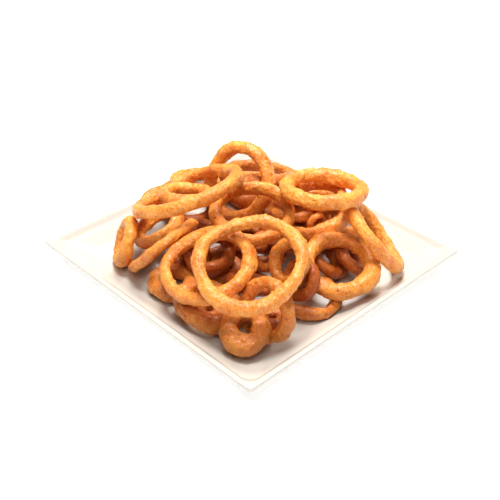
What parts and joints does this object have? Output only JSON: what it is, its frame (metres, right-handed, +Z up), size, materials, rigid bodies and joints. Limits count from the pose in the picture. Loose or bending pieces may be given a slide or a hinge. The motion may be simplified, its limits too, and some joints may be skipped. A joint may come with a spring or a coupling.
{
  "type": "onion rings side",
  "caption": "Heap of crisp battered onion rings in mixed sizes on a square white porcelain plate with a raised rim.",
  "frame": {"origin": "centre of the plate's foot, on the table", "axes": "+Z up; +X and +Y along the plate's two straight sides; the heap's front faces the corner at +X, -Y"},
  "size_m": [0.25, 0.25, 0.0863],
  "materials": {
    "porcelain": "glossy clear glaze over white porcelain",
    "batter": "golden fried batter, oily satin, rough"
  },
  "bodies": {
    "root": {"plate": "porcelain", "ring_front_large": "batter", "ring_front_left": "batter", "ring_front_small": "batter", "ring_front_standing": "batter", "ring_front_flat_left": "batter", "ring_front_flat_right": "batter", "ring_front_right": "batter", "ring_left_low": "batter", "ring_left_edge": "batter", "ring_left_lean": "batter", "ring_left_strip": "batter", "ring_left_top": "batter", "ring_left_under": "batter", "ring_middle_large": "batter", "ring_crown": "batter", "ring_crown_behind": "batter", "ring_middle_small": "batter", "ring_right_top": "batter", "ring_right_under": "batter", "ring_right_outer": "batter", "ring_right_flat": "batter", "ring_right_back": "batter", "ring_inner_left": "batter", "ring_inner_right": "batter", "ring_inner_middle": "batter", "ring_inner_deep": "batter", "ring_right_inner": "batter", "ring_right_inner_back": "batter", "ring_right_end": "batter", "ring_inner_back": "batter", "ring_inner_front": "batter", "ring_inner_low": "batter", "ring_left_strip_inner": "batter", "ring_inner_top": "batter", "ring_inner_front_left": "batter", "ring_base_middle": "batter", "ring_base_left": "batter", "ring_base_right": "batter", "ring_base_front": "batter", "ring_core_left": "batter", "ring_core_right": "batter", "ring_core_middle": "batter", "ring_back_large": "batter", "ring_back_left": "batter", "ring_back_right": "batter", "ring_back_edge": "batter", "ring_back_corner": "batter"}
  },
  "joints": []
}
